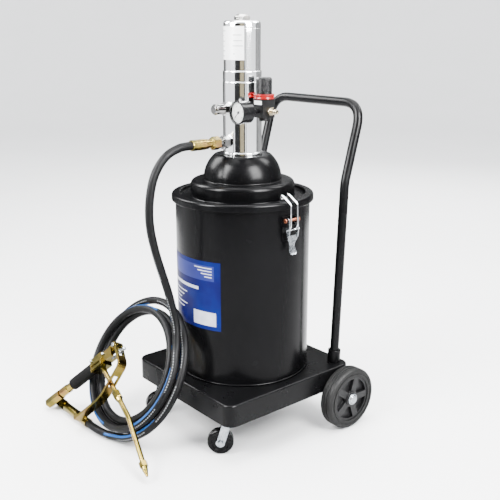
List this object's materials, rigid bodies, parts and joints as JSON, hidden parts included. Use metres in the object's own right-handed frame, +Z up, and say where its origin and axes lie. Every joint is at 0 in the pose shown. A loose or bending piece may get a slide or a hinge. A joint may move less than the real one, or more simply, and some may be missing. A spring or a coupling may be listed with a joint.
{
  "type": "pneumatic grease pump",
  "caption": "Air-driven grease pump on a hand trolley: black drum with clamped lid, chrome air motor, regulator with gauge, coiled hose and hand gun.",
  "frame": {"origin": "on the floor at the middle of the bounding box, with the free hose left out", "axes": "+Z up, -Y towards the casters and the front of the trolley, +X towards the air inlet"},
  "size_m": [0.4802, 0.5126, 0.803],
  "materials": {
    "black_paint": "semi-gloss black powder coat",
    "chrome": "polished",
    "zinc": "bright zinc",
    "yellow_zinc": "yellow passivated zinc",
    "rubber": "matt black rubber",
    "tyre": "matt black",
    "hub": "dark grey moulding",
    "copper": "copper coloured",
    "red_ring": "glossy",
    "dial": "printed white",
    "lens": "clear",
    "black_plastic": "moulded black"
  },
  "bodies": {
    "base": {"platform": "black_paint", "caster_channel": "black_paint", "axle_brackets": "black_paint", "handle_sockets": "black_paint", "handle": "black_paint", "axle": "zinc", "axle_caps": "chrome", "caster_plates": "zinc", "drum": "black_paint", "lid": "black_paint", "lid_gasket": "rubber", "latch_brackets": "black_paint", "latch_pivots": "copper", "pump_flange": "chrome", "pump_body": "chrome", "motor_tube": "chrome", "motor_head": "chrome", "top_plug": "yellow_zinc", "suction_tube": "zinc", "foot_valve": "zinc", "muffler": "chrome", "outlet_adapter": "chrome", "hose_nut": "yellow_zinc", "hose_ferrule": "yellow_zinc", "hose_drop": "rubber", "hose_coil": "rubber", "hose_tail": "rubber", "hose_end": "yellow_zinc", "regulator_body": "black_plastic", "regulator_ring": "red_ring", "air_inlet_plug": "zinc", "gauge_case": "black_plastic", "gauge_dial": "dial", "gauge_lens": "lens"},
    "wheel_left": {"wheel_hub_left": "hub", "tyre_left": "tyre"},
    "wheel_right": {"wheel_hub_right": "hub", "tyre_right": "tyre"},
    "caster_left": {"caster_fork_left": "zinc"},
    "caster_right": {"caster_fork_right": "zinc"},
    "caster_wheel_left": {"caster_wheel_left": "tyre"},
    "caster_wheel_right": {"caster_wheel_right": "tyre"},
    "latch_left": {"latch_lever_left": "zinc"},
    "latch_right": {"latch_lever_right": "zinc"},
    "bail_left": {"latch_bail_left": "zinc"},
    "bail_right": {"latch_bail_right": "zinc"},
    "piston": {"air_piston": "zinc"},
    "follower": {"follower_plate": "rubber"},
    "knob": {"regulator_knob": "black_plastic"},
    "needle": {"gauge_needle": "black_plastic"},
    "link": {"swivel_link": "yellow_zinc"},
    "gun": {"swivel_block": "yellow_zinc", "gun_tube": "yellow_zinc", "grip": "rubber", "gun_head": "yellow_zinc", "gun_end_plug": "chrome", "trigger_pin": "zinc", "nozzle_tube": "yellow_zinc", "nozzle_tip": "yellow_zinc"},
    "trigger": {"trigger_lever": "yellow_zinc"}
  },
  "joints": [
    {"name": "wheel_left_spin", "type": "hinge", "parent": "base", "child": "wheel_left", "pos_m": [-0.12, 0.186, 0.0625], "axis": [1, 0, 0], "continuous": true},
    {"name": "caster_left_swivel", "type": "hinge", "parent": "base", "child": "caster_left", "pos_m": [-0.058, -0.057, 0.071], "axis": [0, 0, 1], "continuous": true},
    {"name": "caster_left_roll", "type": "hinge", "parent": "caster_left", "child": "caster_wheel_left", "pos_m": [-0.06655, -0.08049, 0.025], "axis": [0.9397, -0.342, 0], "continuous": true},
    {"name": "latch_left_lever", "type": "hinge", "parent": "base", "child": "latch_left", "pos_m": [-0.091, 0.055, 0.444], "axis": [0, 1, 0], "range_deg": [0, 110]},
    {"name": "latch_left_bail", "type": "hinge", "parent": "latch_left", "child": "bail_left", "pos_m": [-0.093, 0.055, 0.426], "axis": [0, 1, 0], "range_deg": [-140, 0]},
    {"name": "wheel_right_spin", "type": "hinge", "parent": "base", "child": "wheel_right", "pos_m": [0.22, 0.186, 0.0625], "axis": [1, 0, 0], "continuous": true},
    {"name": "caster_right_swivel", "type": "hinge", "parent": "base", "child": "caster_right", "pos_m": [0.158, -0.057, 0.071], "axis": [0, 0, 1], "continuous": true},
    {"name": "caster_right_roll", "type": "hinge", "parent": "caster_right", "child": "caster_wheel_right", "pos_m": [0.14193, -0.07615, 0.025], "axis": [0.766, -0.6428, 0], "continuous": true},
    {"name": "latch_right_lever", "type": "hinge", "parent": "base", "child": "latch_right", "pos_m": [0.191, 0.055, 0.444], "axis": [0, -1, 0], "range_deg": [0, 110]},
    {"name": "latch_right_bail", "type": "hinge", "parent": "latch_right", "child": "bail_right", "pos_m": [0.193, 0.055, 0.426], "axis": [0, -1, 0], "range_deg": [-140, 0]},
    {"name": "piston_stroke", "type": "slide", "parent": "base", "child": "piston", "axis": [0, 0, 1], "range_m": [0, 0.04]},
    {"name": "follower_travel", "type": "slide", "parent": "base", "child": "follower", "axis": [0, 0, 1], "range_m": [0, 0.28]},
    {"name": "knob_turn", "type": "hinge", "parent": "base", "child": "knob", "pos_m": [0.112, 0.055, 0.67509], "axis": [0, 0, 1], "range_deg": [-360, 360]},
    {"name": "needle_swing", "type": "hinge", "parent": "base", "child": "needle", "pos_m": [0.112, -0.004, 0.63397], "axis": [0, 1, 0], "range_deg": [0, 270]},
    {"name": "hose_swivel", "type": "hinge", "parent": "base", "child": "link", "pos_m": [-0.223, -0.22449, 0.01141], "axis": [1, 0, 0], "range_deg": [0, 30]},
    {"name": "gun_swivel", "type": "hinge", "parent": "link", "child": "gun", "pos_m": [-0.223, -0.2418, 0.02061], "axis": [0, -0.8829, 0.4695], "range_deg": [0, 35]},
    {"name": "trigger_squeeze", "type": "hinge", "parent": "gun", "child": "trigger", "pos_m": [-0.08048, -0.16236, 0.17], "axis": [0, 0.8829, -0.4695], "range_deg": [0, 14], "stiffness_Nm_per_rad": 0.4, "springref_deg": -34.38}
  ],
  "couplings": [
    {"joint": "latch_left_bail", "follows": "latch_left_lever", "ratio": -1.25},
    {"joint": "latch_right_bail", "follows": "latch_right_lever", "ratio": -1.25}
  ]
}
